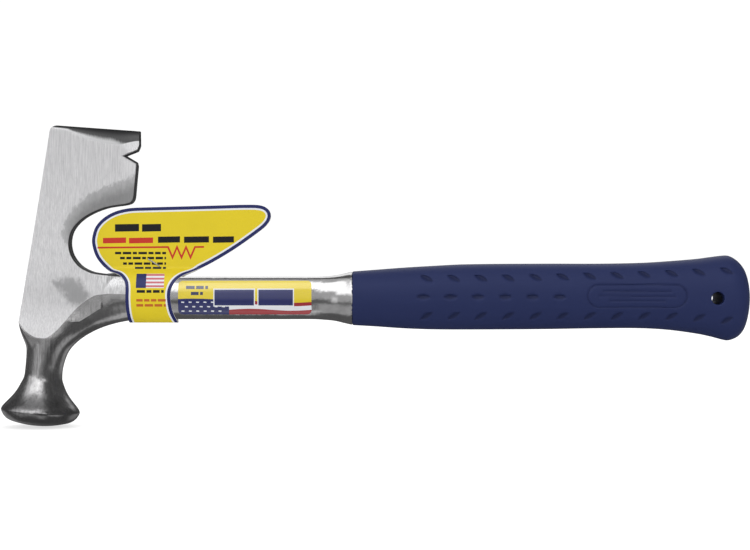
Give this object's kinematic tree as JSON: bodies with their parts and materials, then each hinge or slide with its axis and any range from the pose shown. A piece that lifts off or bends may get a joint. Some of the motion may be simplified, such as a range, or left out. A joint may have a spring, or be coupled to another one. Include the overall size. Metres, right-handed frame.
{
  "type": "drywall hatchet",
  "caption": "One-piece forged steel hatchet with a thin nail-slotted blade, a round crowned striking face, and a moulded grip with a hang hole; a sliding card hang tag.",
  "frame": {"origin": "centre of the hang hole, on the tool's middle plane", "axes": "+X along the handle from the head to the butt, +Z towards the cutting edge (the striking face looks down), +Y through the thickness"},
  "size_m": [0.3549, 0.0368, 0.1435],
  "materials": {
    "forged_steel": "bright ground cheeks; dark polished neck, throat and shank under clear lacquer",
    "grip_vinyl": "satin navy moulded vinyl",
    "printed_card": "coated card, printed yellow with a navy border",
    "staple_wire": "plated wire",
    "label_film": "glossy printed film"
  },
  "bodies": {
    "tool": {"forging": "forged_steel", "grip": "grip_vinyl", "shank_label": "label_film"},
    "tag": {"hang_tag": "printed_card", "tag_staple": "staple_wire"}
  },
  "joints": [
    {"name": "tag_slide", "type": "slide", "parent": "tool", "child": "tag", "axis": [1, 0, 0], "range_m": [0, 0.074]}
  ]
}
